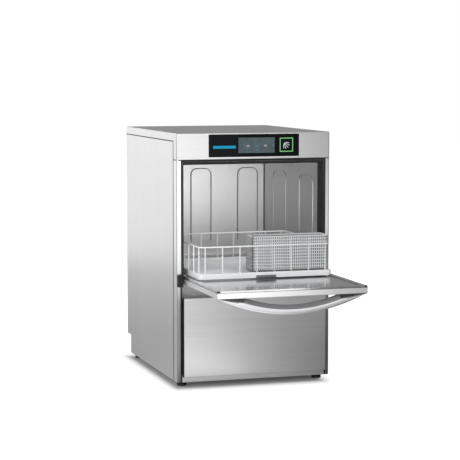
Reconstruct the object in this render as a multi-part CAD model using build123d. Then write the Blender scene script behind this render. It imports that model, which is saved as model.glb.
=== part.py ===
from build123d import *
import os
from math import cos, hypot, radians, sin, sqrt

# Under-counter commercial dishwasher, door open and rack run out over it.
# Millimetres, +Z up, front faces -Y, X = 0 is the centre plane, Z = 0 is the floor.
# Y = 0 is midway between the open door's far edge and the back of the body.
# Places along Y are given as a depth behind the corner posts' front plane.

# ---- driving dimensions ----
WIDTH = 460.0
HEIGHT = 725.0
BODY_DEPTH = 585.0        # corner posts' front plane to the back
DOOR_REACH = 340.0        # open door's far edge ahead of that plane
FRONT = -(BODY_DEPTH - DOOR_REACH) / 2
HALF = WIDTH / 2
SHEET = 1.2
STAND = 15.5              # height of the body's lower edge above the floor

# casing
HOOD_BOTTOM = 651.0       # lower edge of the hood's front face
SKIRT_BOTTOM = 701.0      # lower edge of the hood's side skirts
POST_FACE = 215.0         # inner edge of a corner post
POST_DEPTH = 38.0
REAR_RETURN = 46.0        # width of the rear panel's side returns
RECESS_TOP = 72.0         # top of the service recess at the lower back
REAR_FACE = 583.0         # back sheet, with screw heads standing out of it
PANEL_HALF = 213.5        # half width of the door and lower panel
PANEL_TOP = 258.5
PANEL_BOTTOM = 32.0
PANEL_PROUD = 18.0

# door, modelled open
PIVOT_DEPTH = -5.0
PIVOT_Z = 313.0
DOOR_OUTER_Z = 299.0
DOOR_INNER_Z = 320.0
DOOR_TAIL = 46.0          # depth of the end behind the pivot
PAN_TOP = 315.0           # joint between the door's two skins
HINGE_R = 3.5
BUSH_R = 4.9
STUD_R = 5.0              # foot studs and the wash pump's shaft
RUNNING = 0.05            # radial clearance of a shaft in its bush
CAP = 8.0                 # corner caps at the door's far edge
HANDLE_HALF = PANEL_HALF - 2
HANDLE_DROP = 49.0
HANDLE_DEPTH = 18.0
HANDLE_SETBACK = 2.0

# balance springs beside the wash chamber
LEVER = 38.0
PIN_R = 2.0
SPRING_X = POST_FACE + 8.9
SPRING_DEPTH = PIVOT_DEPTH + LEVER / sqrt(2)
SPRING_TOP = PIVOT_Z + LEVER / sqrt(2)
SPRING_LOW = SPRING_TOP - 196.0

# wash chamber and tank
CHAMBER_HALF = 212.0
CHAMBER_FRONT = 14.0
CHAMBER_BACK = 540.0
CHAMBER_FLOOR = 318.0
CHAMBER_CEILING = 648.0
OPENING_HALF = 209.0
OPENING_TOP = 636.0
TANK_HALF = 190.0
TANK_FRONT = 59.0
TANK_BACK = 503.0
TANK_BOTTOM = 205.0
SUMP_X, SUMP_DEPTH, SUMP_R, SUMP_BOTTOM = 95.0, 400.0, 48.0, 150.0
RAIL_TOP = 321.8

# spray arms
ARM_DEPTH = 275.0
ARM_REACH = 182.0
STUB_R = 10.0

# pumps, boiler and connections under the chamber
PUMP_X, PUMP_Z = SUMP_X, 95.0
DRAIN_PUMP = (20.0, 75.0)
BOILER_X, BOILER_Z = -140.0, 118.0
DOSERS = {"detergent": -20.0, "rinse_aid": -92.0}
DOSER_Z = 112.0
SERVICE_Z = 44.0
SERVICE_HOLES = {"inlet": (150.0, 14.2), "drain": (70.0, 11.5), "mains": (-140.0, 9.0)}
SPIGOT_SHOULDER = 541.0   # depth at which the water connections reach full size, clear of the rear panel
INLET_R, INLET_END = 13.2, 560.0
DRAIN_R, DRAIN_END = 10.5, 566.0

# rack, run out over the open door
RACK_HALF = 196.0
RACK_LENGTH = 392.0
RACK_FRONT = -110.0
RACK_BOTTOM = 322.0
RACK_BASE_TOP = 338.0
RACK_RIM = 414.0
GRIP_HALF, GRIP_TOP = 30.0, 331.5
BASKET_X = (-38.5, 185.5)
BASKET_DEPTH = (-104.0, -46.0)
BASKET_Z = (340.0, 438.0)

# control panel
GLASS_HALF, GLASS_Z = 134.6, (657.4, 720.0)
BUTTON_X, BUTTON_Z, BUTTON_SIDE = 97.3, 689.2, 34.6
RING_SIDE = 40.5
BUTTON_TRAVEL = 1.5


# ---- helpers ----
def block(x, depth, z):
    """A box from (low, high) pairs; depth counts back from the posts' front plane."""
    size = (x[1] - x[0], depth[1] - depth[0], z[1] - z[0])
    centre = ((x[0] + x[1]) / 2, FRONT + (depth[0] + depth[1]) / 2, (z[0] + z[1]) / 2)
    return Pos(*centre) * Box(*size)


def rod(axis, centre, span, radius):
    """A round bar along 'x', 'y' or 'z'. centre holds the two other places, span the ends."""
    length = span[1] - span[0]
    middle = (span[0] + span[1]) / 2
    bar = Cylinder(radius, length)
    if axis == "x":
        return Pos(middle, FRONT + centre[0], centre[1]) * Rot(0, 90, 0) * bar
    if axis == "y":
        return Pos(centre[0], FRONT + middle, centre[1]) * Rot(90, 0, 0) * bar
    return Pos(centre[0], FRONT + centre[1], middle) * bar


def pipe(points, radius):
    """Round pipe through (x, depth, z) points, with ball corners."""
    places = [Vector(x, FRONT + depth, z) for x, depth, z in points]
    shape = Part()
    for start, end in zip(places, places[1:]):
        run = end - start
        shape += Plane(origin=(start + end) / 2, z_dir=run) * Cylinder(radius, run.length)
    for corner in places[1:-1]:
        shape += Pos(*corner) * Sphere(radius)
    return shape


def both_sides(shape):
    """The shape and its mirror image across the centre plane."""
    return Compound(children=list(shape.solids()) + list(mirror(shape, about=Plane.YZ).solids()))


def group(shapes):
    """Separate solids kept together as one node."""
    return Compound(children=[solid for shape in shapes for solid in shape.solids()])


def spread(count, low, high):
    """Evenly spaced values from low to high."""
    return [low + (high - low) * i / (count - 1) for i in range(count)]


def upright_edges(shape, x=None, depth=None):
    """Vertical edges, optionally only those at |x| or at a depth."""
    edges = shape.edges().filter_by(Axis.Z)
    if x is not None:
        edges = edges.filter_by(lambda e: abs(abs(e.center().X) - x) < 0.01)
    if depth is not None:
        edges = edges.filter_by(lambda e: abs(e.center().Y - FRONT - depth) < 0.01)
    return edges


# ---- casing ----
def base_tray():
    front, back = 3.0, REAR_FACE - REAR_RETURN
    side = HALF - 2.2
    rim_top = STAND + 25.0
    tray = block((-side, side), (front, back), (STAND, rim_top))
    tray -= block((-side + SHEET, side - SHEET), (front + SHEET, back - SHEET), (STAND + SHEET, rim_top))
    for x, depth in foot_places():
        tray += rod("z", (x, depth), (STAND + SHEET, STAND + 23.0), 10.0)
        tray -= rod("z", (x, depth), (STAND, STAND + 23.0), STUD_R + RUNNING)
    for side in (-1, 1):
        corner = sorted((side * (POST_FACE - 0.3), side * HALF))
        tray -= block(corner, (0, POST_DEPTH + 0.4), (STAND - 1, rim_top + 1))
    tray += block((-POST_FACE + 0.3, POST_FACE - 0.3), (0, front + SHEET), (STAND, PANEL_BOTTOM - 1))
    tray -= block((-175, 175), (back - 5, back + 1), (STAND + 8, rim_top + 1))
    anchor = spring_anchor()
    return tray + anchor + mirror(anchor, about=Plane.YZ)


def foot_places():
    return [(x, depth) for depth in (40.0, 522.0) for x in (-206.0, 206.0)]


def foot(x, depth):
    disc_top = 8.0
    disc = fillet(rod("z", (x, depth), (0, disc_top), 14.0).edges(), 1.5)
    nut = Pos(x, FRONT + depth, disc_top) * extrude(RegularPolygon(9.0, 6), 6.0)
    stud = rod("z", (x, depth), (disc_top, STAND + 19.0), STUD_R)
    return disc + nut + stud


def side_panel():
    outer = -HALF
    depth = (POST_DEPTH + 0.4, REAR_FACE - REAR_RETURN + 1.6)
    z = (STAND, SKIRT_BOTTOM - 0.6)
    panel = block((outer, outer + 1.0), depth, z)
    panel += block((outer + 1.0, outer + 14.0), depth, (z[1] - 1.0, z[1]))
    panel += block((outer + 1.0, outer + 9.0), (depth[0], depth[0] + 1.0), (RECESS_TOP, z[1]))
    return panel


def corner_post():
    """Folded post: side leg, rounded corner, front face and a short inner return."""
    x = (POST_FACE, HALF)
    z = (STAND, HOOD_BOTTOM - 0.6)
    inner = HALF - SHEET
    outside = fillet(upright_edges(block(x, (0, POST_DEPTH), z), HALF, 0), 4.0)
    hollow = fillet(upright_edges(block((x[0] + SHEET, inner), (SHEET, POST_DEPTH), z), inner, SHEET), 2.8)
    post = outside - hollow
    post -= block((x[0], x[0] + SHEET), (CHAMBER_FRONT, POST_DEPTH), z)
    post -= block((x[0] + 1.6, x[0] + 11.0), (0, SHEET), (PIVOT_Z - 12, PIVOT_Z + 12))
    return post


def rear_panel():
    depth, z = (REAR_FACE - REAR_RETURN + 2.0, REAR_FACE), (RECESS_TOP, SKIRT_BOTTOM - 0.6)
    outside = block((-HALF, HALF), depth, z)
    outside = fillet(upright_edges(outside, HALF, REAR_FACE), 3.0)
    side = HALF - SHEET
    hollow = block((-side, side), (0, REAR_FACE - SHEET), (RECESS_TOP + SHEET, SKIRT_BOTTOM))
    panel = outside - hollow
    wall = REAR_FACE - REAR_RETURN + 0.8
    panel += block((-side, side), (wall, wall + SHEET), (STAND, RECESS_TOP + SHEET))
    slots = []
    for z in spread(9, 130.0, 210.0):
        for x in (-105.0, 0.0, 105.0):
            slots.append(block((x - 32, x + 32), (REAR_FACE - 3, REAR_FACE + 1), (z - 2, z + 2)))
    panel -= slots
    holes = [rod("y", (x, SERVICE_Z), (wall - 2, wall + 4), radius) for x, radius in SERVICE_HOLES.values()]
    return panel - holes


def rear_screw_places():
    xs, zs = (-HALF + 12, 0.0, HALF - 12), (90.0, 390.0, 688.0)
    return [(x, z) for x in xs for z in zs]


def panel_screws():
    screws = []
    for x, z in rear_screw_places():
        head = rod("y", (x, z), (REAR_FACE, BODY_DEPTH), 4.5)
        screws.append(head - block((x - 3, x + 3), (BODY_DEPTH - 1, BODY_DEPTH), (z - 0.5, z + 0.5)))
    return group(screws)


def hood_cover():
    outside = block((-HALF, HALF), (0, BODY_DEPTH - 2), (HOOD_BOTTOM, HEIGHT))
    outside = fillet(upright_edges(outside), 4.0)
    outside = fillet(outside.faces().sort_by(Axis.Z)[-1].edges(), 1.6)
    side = HALF - SHEET
    hood = outside - block((-side, side), (SHEET, BODY_DEPTH - 2 - SHEET), (HOOD_BOTTOM - 1, HEIGHT - SHEET))
    hood -= block((-HALF - 1, HALF + 1), (POST_DEPTH, BODY_DEPTH), (HOOD_BOTTOM - 1, SKIRT_BOTTOM))
    hood -= block((-GLASS_HALF, GLASS_HALF), (-1, 5), GLASS_Z)
    return hood


def lower_front_panel():
    outside = block((-PANEL_HALF, PANEL_HALF), (-PANEL_PROUD, -0.4), (PANEL_BOTTOM, PANEL_TOP))
    outside = fillet(outside.faces().sort_by(Axis.Y)[0].edges(), 1.5)
    side = PANEL_HALF - SHEET
    inside = block((-side, side), (SHEET - PANEL_PROUD, 0), (PANEL_BOTTOM + SHEET, PANEL_TOP - SHEET))
    return outside - inside


def sill_plate():
    """Closes the space under the door's inward-swinging end."""
    z = 254.6
    shelf = block((-PANEL_HALF, PANEL_HALF), (0.2, 52.0), (z, z + SHEET))
    wall = block((-PANEL_HALF, PANEL_HALF), (52.0, 52.0 + SHEET), (z, CHAMBER_FLOOR - 0.2))
    front = block((-PANEL_HALF, PANEL_HALF), (0.2, 0.2 + SHEET), (PANEL_BOTTOM, z))
    return shelf + wall + front


def hinge_cover():
    x, depth, z = (POST_FACE, HALF - 0.5), (-16.0, 0.0), (291.0, 325.5)
    shell = block(x, depth, z)
    shell = fillet(shell.faces().sort_by(Axis.Y)[0].edges(), 2.0)
    shell -= block((x[0] + 1.5, x[1] - 1.5), (depth[0] + 1.5, 1), (z[0] + 1.5, z[1] - 1.5))
    return shell - rod("x", (PIVOT_DEPTH, PIVOT_Z), (x[0] - 1, x[0] + 2), BUSH_R)


def hinge_bush():
    x = (POST_FACE - 0.9, POST_FACE + 1.6)
    ring = rod("x", (PIVOT_DEPTH, PIVOT_Z), x, BUSH_R)
    return ring - rod("x", (PIVOT_DEPTH, PIVOT_Z), x, HINGE_R + RUNNING)


# ---- wash chamber ----
def arch_bead(width, height, corner):
    """Outline of a tall panel with rounded top corners, as a flat pressed bead."""
    bead = 3.0
    ring = RectangleRounded(width, height, corner)
    ring -= RectangleRounded(width - 2 * bead, height - 2 * bead, corner - bead)
    return extrude(ring, 1.6)


def wash_chamber():
    out = CHAMBER_HALF + SHEET
    z = (CHAMBER_FLOOR, CHAMBER_CEILING + SHEET)
    shell = block((-out, out), (CHAMBER_FRONT, CHAMBER_BACK + SHEET), z)
    half, floor = CHAMBER_HALF, CHAMBER_FLOOR + SHEET
    shell -= block((-half, half), (CHAMBER_FRONT + SHEET, CHAMBER_BACK), (floor, CHAMBER_CEILING))
    shell -= block((-OPENING_HALF, OPENING_HALF), (0, 30), (floor, OPENING_TOP))
    shell -= block((-TANK_HALF, TANK_HALF), (TANK_FRONT, TANK_BACK), (0, 330))
    shell -= block((-out, out), (0, 54.0), (0, DOOR_INNER_Z + 2))
    shell -= rod("z", (0, ARM_DEPTH), (640, 660), 12.0)
    tall, middle = 230.0, 477.0
    beads = []
    for x in (-155.0, 0.0, 155.0):
        wall = Plane(origin=(x, FRONT + CHAMBER_BACK, middle), x_dir=(1, 0, 0), z_dir=(0, -1, 0))
        beads.append(wall * arch_bead(66, tall, 20))
    for depth in (150.0, 390.0):
        wall = Plane(origin=(-half, FRONT + depth, middle), x_dir=(0, 1, 0), z_dir=(1, 0, 0))
        side = wall * arch_bead(120, tall, 26)
        beads += [side, mirror(side, about=Plane.YZ)]
    for bead in beads:
        shell += bead
    return shell


def wash_tank():
    wall = 1.5
    flange = 8.0
    x, depth = TANK_HALF + 0.3, (TANK_FRONT - 0.3, TANK_BACK + 0.3)
    tank = block((-x, x), depth, (TANK_BOTTOM, CHAMBER_FLOOR - 0.1))
    rim_z = (CHAMBER_FLOOR - 1.6, CHAMBER_FLOOR - 0.1)
    tank += block((-x - flange, x + flange), (54.0, depth[1] + flange), rim_z)
    inner_z = (TANK_BOTTOM + wall, CHAMBER_FLOOR)
    inner = block((-x + wall, x - wall), (depth[0] + wall, depth[1] - wall), inner_z)
    sump = rod("z", (SUMP_X, SUMP_DEPTH), (SUMP_BOTTOM, TANK_BOTTOM), SUMP_R + wall)
    tank = tank + sump - inner
    tank -= rod("z", (SUMP_X, SUMP_DEPTH), (SUMP_BOTTOM + wall, TANK_BOTTOM + 5), SUMP_R)
    tank -= rod("z", (0, ARM_DEPTH), (TANK_BOTTOM - 1, TANK_BOTTOM + 5), 12.0)
    tank -= rod("z", (SUMP_X, SUMP_DEPTH), (SUMP_BOTTOM - 1, SUMP_BOTTOM + 5), 12.0)
    tank -= rod("x", (90.0, TANK_BOTTOM + 20), (-x - 1, -x + 5), 6.0)
    ledge_x = x - wall
    for side in (-1, 1):
        tank += block(sorted((side * ledge_x, side * (ledge_x - 6))), (100.0, 460.0), (247.0, 249.0))
    return tank


def tank_strainer():
    x, depth = TANK_HALF - 1.6, (TANK_FRONT + 2.5, TANK_BACK - 2.5)
    plate = block((-x, x), depth, (249.0, 250.2))
    slot = 55.0
    holes = (((SUMP_X, SUMP_DEPTH), SUMP_R - 1.4), ((0, ARM_DEPTH), 12.5))
    slots = []
    for x_mid in spread(17, -168.0, 168.0):
        for mid in spread(5, depth[0] + 45, depth[1] - 45):
            gaps = [hypot(x_mid - centre[0], mid - centre[1]) - radius for centre, radius in holes]
            if min(gaps) > slot / 2 + 6:
                slots.append(block((x_mid - 2, x_mid + 2), (mid - slot / 2, mid + slot / 2), (248, 252)))
    plate -= slots
    for centre, radius in holes:
        plate -= rod("z", centre, (240, 260), radius)
    return plate


def strainer_basket():
    wall, radius = 1.2, SUMP_R - 2
    z = (162.0, 254.0)
    cup = rod("z", (SUMP_X, SUMP_DEPTH), z, radius)
    cup -= rod("z", (SUMP_X, SUMP_DEPTH), (z[0] + wall, z[1]), radius - wall)
    lip = rod("z", (SUMP_X, SUMP_DEPTH), (250.4, 254.0), SUMP_R + 2)
    cup += lip - rod("z", (SUMP_X, SUMP_DEPTH), (250, 254), radius - wall)
    slots = []
    for i in range(12):
        turn = Pos(SUMP_X, FRONT + SUMP_DEPTH, 0) * Rot(0, 0, 15 * i)
        for low in (172.0, 196.0, 220.0):
            slots.append(turn * Pos(0, 0, low + 9) * Box(2 * radius + 4, 5.0, 18.0))
    return cup - slots


def rack_rail():
    wall = CHAMBER_HALF - SHEET
    lip = block((186.0, CHAMBER_HALF), (20.0, 530.0), (RAIL_TOP - 1.5, RAIL_TOP))
    web = block((wall, CHAMBER_HALF), (20.0, 530.0), (RAIL_TOP, RAIL_TOP + 26))
    return lip + web


def door_gasket():
    outer, inner = POST_FACE - 0.5, OPENING_HALF
    depth = (2.6, CHAMBER_FRONT)
    ring = block((-outer, outer), depth, (PAN_TOP + 8, HOOD_BOTTOM - 0.8))
    ring -= block((-inner, inner), (0, 20), (0, OPENING_TOP))
    for x in (inner + 2.5, -inner - 2.5):
        ring -= block((x - 0.8, x + 0.8), (0, 5.0), (330, OPENING_TOP + 6))
    sill = block((-PANEL_HALF + 1, PANEL_HALF - 1), (48.6, 52.0), (300.0, 316.0))
    return group([ring, fillet(sill.edges().filter_by(Axis.X), 1.2)])


# ---- spray arms ----
def arm_stub(z, boss_z, step_z, tip_z):
    """Fixed pipe stub that carries a wash arm and a rinse arm."""
    stub = rod("z", (0, ARM_DEPTH), boss_z, 22.0)
    stub += rod("z", (0, ARM_DEPTH), step_z, 12.0)
    stub += rod("z", (0, ARM_DEPTH), tip_z, STUB_R)
    low, high = z
    return stub + rod("z", (0, ARM_DEPTH), (low, high), 13.5)


def spray_arm(z, reach, width, hub_r, nozzles, up):
    """Flat hollow-looking arm with round ends, a hub and raised nozzles on one face."""
    low, high = z
    beam = Pos(0, FRONT + ARM_DEPTH, low) * extrude(SlotOverall(2 * reach, width), high - low)
    beam = fillet(beam.edges().group_by(Axis.Z)[-1], 1.5)
    beam += rod("z", (0, ARM_DEPTH), z, hub_r)
    face = high if up else low
    step = 2.0 if up else -2.0
    for x in nozzles:
        beam += rod("z", (x, ARM_DEPTH), sorted((face, face + step)), 3.6)
        beam -= rod("z", (x, ARM_DEPTH), sorted((face + step, face - 2 * step)), 1.4)
    return beam - rod("z", (0, ARM_DEPTH), (low - 5, high + 5), STUB_R + RUNNING)


def nozzle_places(count, reach):
    half = spread(count, 34.0, reach - 12.0)
    return [-x for x in half] + [x + 6 for x in half[:-1]]


# ---- service space ----


def wash_pump_housing():
    casing = rod("y", (PUMP_X, PUMP_Z), (296.0, 344.0), 46.0)
    casing -= rod("y", (PUMP_X, PUMP_Z), (300.0, 340.0), 42.0)
    casing -= rod("y", (PUMP_X, PUMP_Z), (290.0, 310.0), STUD_R + RUNNING)
    bend = (PUMP_X, SUMP_DEPTH, PUMP_Z)
    inlet = pipe([(PUMP_X, 344, PUMP_Z), bend, (PUMP_X, SUMP_DEPTH, SUMP_BOTTOM)], 16.0)
    outlet = rod("z", (PUMP_X, 320.0), (PUMP_Z + 44, PUMP_Z + 62), 15.0)
    outlet -= rod("z", (PUMP_X, 320.0), (PUMP_Z + 40, PUMP_Z + 62), 11.0)
    return casing + outlet + inlet


def wash_pump_motor():
    can = fillet(rod("y", (PUMP_X, PUMP_Z), (170.0, 290.0), 44.0).edges(), 3.0)
    for depth in spread(8, 190, 270):
        can += block((PUMP_X - 48, PUMP_X + 48), (depth, depth + 3), (PUMP_Z - 12, PUMP_Z + 12))
    can += block((PUMP_X - 26, PUMP_X + 26), (200, 260), (PUMP_Z + 40, PUMP_Z + 58))
    can += rod("y", (PUMP_X, PUMP_Z), (290.0, 295.9), 30.0)
    return can - rod("y", (PUMP_X, PUMP_Z), (280.0, 300.0), STUD_R + RUNNING)


def impeller(centre, span, radius, shaft_span, shaft_r, blades):
    """Back plate with straight blades on a shaft along Y."""
    wheel = rod("y", centre, (span[0], span[0] + 3), radius)
    wheel += rod("y", centre, span, radius * 0.3)
    x, z = centre
    middle = FRONT + (span[0] + 3 + span[1]) / 2
    for i in range(blades):
        blade = Box(radius * 0.66, span[1] - span[0] - 3, 2.0)
        wheel += Pos(x, middle, z) * Rot(0, 360 * i / blades, 0) * Pos(radius * 0.62, 0, 0) * blade
    return wheel + rod("y", centre, shaft_span, shaft_r)


def wash_impeller():
    return impeller((PUMP_X, PUMP_Z), (312.0, 330.0), 36.0, (282.0, 312.0), STUD_R, 6)


def drain_pump_housing():
    casing = rod("y", DRAIN_PUMP, (420.0, 452.0), 26.0)
    casing -= rod("y", DRAIN_PUMP, (423.0, 449.0), 23.0)
    casing -= rod("y", DRAIN_PUMP, (415.0, 430.0), 3.0 + RUNNING)
    x, z = DRAIN_PUMP
    casing += block((x - 20, x + 20), (372.0, 414.0), (z - 20, z + 20))
    casing += block((x - 8, x + 8), (414.0, 420.0), (z + 8, z + 18))
    casing -= rod("y", DRAIN_PUMP, (406.0, 420.0), 3.0 + RUNNING)
    casing += pipe([(x + 24, 436, z), (SUMP_X - 45, 436, z), (SUMP_X - 45, 436, 130)], 8.0)
    drain_x = SERVICE_HOLES["drain"][0]
    to_spigot = [(x, 452, z - 8), (x, 505, z - 8), (drain_x, 505, SERVICE_Z), (drain_x, 528, SERVICE_Z)]
    casing += pipe(to_spigot, 7.0)
    return casing


def drain_impeller():
    return impeller(DRAIN_PUMP, (428.0, 444.0), 18.0, (408.0, 428.0), 3.0, 4)


def rinse_boiler():
    centre = (BOILER_X, BOILER_Z)
    shell = fillet(rod("y", centre, (150.0, 420.0), 62.0).edges(), 10.0)
    shell -= rod("y", centre, (146.0, 396.0), 9.0)
    for depth in (200.0, 370.0):
        shell += block((-170.0, -110.0), (depth - 8, depth + 8), (STAND + SHEET, 62.0))
    return shell


def boiler_heater():
    flange = rod("y", (BOILER_X, BOILER_Z), (138.0, 149.9), 22.0)
    return flange + rod("y", (BOILER_X, BOILER_Z), (149.9, 390.0), 8.5)


def tank_heater():
    """Hairpin heating rod low in the wash tank."""
    z = TANK_BOTTOM + 20
    rod_r = 4.5
    left = -TANK_HALF + 3
    bend = 150.0
    loop = pipe([(left, 90, z), (bend, 90, z), (bend, 140, z), (-150.0, 140, z)], rod_r)
    return loop + rod("x", (90.0, z), (-TANK_HALF - 16, left), 5.9)


def wash_pipes():
    lift = 172.0
    riser_depth = 560.0
    over = 690.0
    outlet_top = PUMP_Z + 62
    to_lower = [(PUMP_X, 320, outlet_top), (PUMP_X, 320, lift), (0, 320, lift), (0, ARM_DEPTH, lift),
                (0, ARM_DEPTH, 187.8)]
    side_x = 162.0
    to_upper = [(PUMP_X, 320, lift), (side_x, 320, lift), (side_x, riser_depth, lift),
                (side_x, riser_depth, over), (0, riser_depth, over), (0, ARM_DEPTH, over),
                (0, ARM_DEPTH, 668.2)]
    radius = 11.0
    return pipe(to_lower, radius) + pipe(to_upper, radius)


def rinse_pipes():
    z = 196.0
    top = BOILER_Z + 62.2
    lower = pipe([(BOILER_X, 300, top), (BOILER_X, 300, z), (BOILER_X, ARM_DEPTH, z),
                  (-22.2, ARM_DEPTH, z)], 4.0)
    back = 558
    upper = pipe([(BOILER_X, 350, top), (BOILER_X, 350, z), (BOILER_X, back, z), (BOILER_X, back, 661),
                  (-30, back, 661), (-30, ARM_DEPTH, 661), (-22.2, ARM_DEPTH, 661)], 4.0)
    return group([lower, upper])


def inlet_valve():
    x = SERVICE_HOLES["inlet"][0]
    body = block((x - 18, x + 18), (490.0, 534.0), (SERVICE_Z - 18, SERVICE_Z + 18))
    coil = rod("z", (x, 506.0), (SERVICE_Z + 18, SERVICE_Z + 50), 14.0)
    neck = rod("y", (x, SERVICE_Z), (534.0, SPIGOT_SHOULDER), INLET_R - 1.0)
    spigot = rod("y", (x, SERVICE_Z), (SPIGOT_SHOULDER, INLET_END), INLET_R)
    return body + coil + neck + spigot - rod("y", (x, SERVICE_Z), (530.0, INLET_END + 1), 8.0)


def drain_spigot():
    x = SERVICE_HOLES["drain"][0]
    tail = rod("y", (x, SERVICE_Z), (528.2, SPIGOT_SHOULDER), DRAIN_R - 0.9)
    tail += rod("y", (x, SERVICE_Z), (SPIGOT_SHOULDER, DRAIN_END), DRAIN_R)
    tail += rod("y", (x, SERVICE_Z), (530.0, 535.0), 16.0)
    return tail - rod("y", (x, SERVICE_Z), (528.0, DRAIN_END + 1), 8.0)


def mains_cable():
    """Cable gland and the first length of the mains cable, as separate solids."""
    x = SERVICE_HOLES["mains"][0]
    nut = Pos(x, FRONT + 540.0, SERVICE_Z) * Rot(-90, 0, 0) * extrude(RegularPolygon(13.0, 6), 10.0)
    gland = nut + rod("y", (x, SERVICE_Z), (528.0, 540.0), 8.9)
    gland -= rod("y", (x, SERVICE_Z), (520.0, 560.0), 5.0)
    return group([gland, rod("y", (x, SERVICE_Z), (500.0, 575.0), 4.9)])


def dosing_pump(x):
    """Peristaltic pump: case with a round rotor chamber and two hose tails."""
    case = block((x - 28, x + 28), (40.0, 84.0), (DOSER_Z - 42, DOSER_Z + 28))
    case = fillet(case.edges().filter_by(Axis.Y), 4.0)
    case -= rod("y", (x, DOSER_Z), (40.0, 52.0), 20.0)
    case -= rod("y", (x, DOSER_Z), (50.0, 66.0), 3.0 + RUNNING)
    for side in (-10.0, 10.0):
        case += rod("z", (x + side, 62.0), (56.0, 70.0), 3.0)
    return case + block((x - 20, x + 20), (84.0, 100.0), (STAND + SHEET, 90.0))


def dosing_rotor(x):
    centre = (x, DOSER_Z)
    hub = rod("y", centre, (41.0, 51.0), 7.0)
    for i in range(3):
        angle = radians(120 * i + 30)
        roller = (x + 12.5 * cos(angle), DOSER_Z + 12.5 * sin(angle))
        hub += rod("y", roller, (42.0, 50.0), 4.5)
        spoke = Pos(6.5, 0, 0) * Box(13.0, 4.0, 5.0)
        hub += Pos(x, FRONT + 46.0, DOSER_Z) * Rot(0, -(120 * i + 30), 0) * spoke
    return hub + rod("y", centre, (51.0, 64.0), 3.0)


# ---- control panel ----
def control_glass():
    pane = block((-GLASS_HALF + 0.2, GLASS_HALF - 0.2), (-0.2, 3.0), (GLASS_Z[0] + 0.2, GLASS_Z[1] - 0.2))
    return pane - button_hole((-2, 5), RING_SIDE + 0.2)


def button_hole(depth, side):
    half = side / 2
    return block((BUTTON_X - half, BUTTON_X + half), depth, (BUTTON_Z - half, BUTTON_Z + half))


def start_light_ring():
    return button_hole((-0.4, 3.0), RING_SIDE) - button_hole((-2, 5), BUTTON_SIDE + 0.4)


def start_button():
    cap = fillet(button_hole((-0.5, 3.0), BUTTON_SIDE).faces().sort_by(Axis.Y)[0].edges(), 0.4)
    return cap + rod("y", (BUTTON_X, BUTTON_Z), (3.0, 9.0), 3.0)


def display_module():
    return block((-47.0, 61.6), (3.1, 7.5), (667.0, 711.0))


def control_housing():
    x, z = GLASS_HALF + 4, (GLASS_Z[0] - 4, GLASS_Z[1] + 2.5)
    shell = block((-x, x), (3.2, 34.0), z)
    shell -= block((-x + 2, x - 2), (0, 32.0), (z[0] + 2, z[1] - 2))
    for post_x in (-x + 8, x - 8):
        shell += rod("y", (post_x, 688.0), (18.7, 32.0), 3.5)
    return shell


def control_board():
    board = block((-130.0, 130.0), (17.0, 18.6), (662.0, 715.0))
    for x, width in ((-100.0, 30.0), (-40.0, 22.0), (20.0, 36.0)):
        board += block((x - width / 2, x + width / 2), (18.6, 24.0), (676.0, 702.0))
    switch = block((BUTTON_X - 6, BUTTON_X + 6), (11.0, 17.0), (BUTTON_Z - 6, BUTTON_Z + 6))
    return board + switch


def power_box():
    box = block((-205.0, -50.0), (70.0, 330.0), (CHAMBER_CEILING + SHEET, 716.0))
    box -= block((-203.5, -51.5), (71.5, 328.5), (CHAMBER_CEILING + SHEET + 1.5, 714.5))
    for depth in (140.0, 200.0, 260.0):
        box += block((-160.0, -115.0), (depth - 25, depth + 25), (CHAMBER_CEILING + SHEET + 1.5, 705.0))
    return box


# ---- door ----
def door_outer_panel():
    depth = (-DOOR_REACH, DOOR_TAIL)
    pan = block((-PANEL_HALF, PANEL_HALF), depth, (DOOR_OUTER_Z, PAN_TOP))
    pan = fillet(pan.faces().sort_by(Axis.Z)[0].edges(), 1.5)
    side = PANEL_HALF - SHEET
    pan -= block((-side, side), (depth[0] + SHEET, depth[1] - SHEET), (DOOR_OUTER_Z + SHEET, PAN_TOP))
    for x in ((196.0, side), (-side, -196.0)):
        pan += block(x, (-22.0, 12.0), (DOOR_OUTER_Z + SHEET, PAN_TOP))
    return pan - rod("x", (PIVOT_DEPTH, PIVOT_Z), (-220, 220), HINGE_R)


def door_inner_panel():
    """Pressed inner skin: a rim that seals on the gasket around a lower field."""
    depth = (-DOOR_REACH + 1.0, DOOR_TAIL)
    half = PANEL_HALF - 0.6
    skin = block((-half, half), depth, (PAN_TOP, DOOR_INNER_Z))
    side = half - SHEET
    hollow_z = (PAN_TOP, DOOR_INNER_Z - 2 * SHEET - 0.8)
    skin -= block((-side, side), (depth[0] + SHEET, depth[1] - SHEET), hollow_z)
    field = 16.0
    skin -= block((-half + field, half - field), (depth[0] + field, depth[1] - 30), (DOOR_INNER_Z - 1.6, 330))
    skin += block((-half, half), (depth[0], depth[0] + 3), (PAN_TOP, DOOR_INNER_Z))
    for x in (-PANEL_HALF, PANEL_HALF - CAP):
        skin -= block((x, x + CAP), (-DOOR_REACH, -DOOR_REACH + CAP), (PAN_TOP, 330))
    return skin - rod("x", (PIVOT_DEPTH, PIVOT_Z), (-220, 220), HINGE_R)


def door_corner_cap():
    depth = (-DOOR_REACH, -DOOR_REACH + CAP - 0.1)
    cap = block((PANEL_HALF - CAP + 0.1, PANEL_HALF), depth, (PAN_TOP, DOOR_INNER_Z))
    return fillet(upright_edges(cap, PANEL_HALF, -DOOR_REACH), 2.5)


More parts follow.
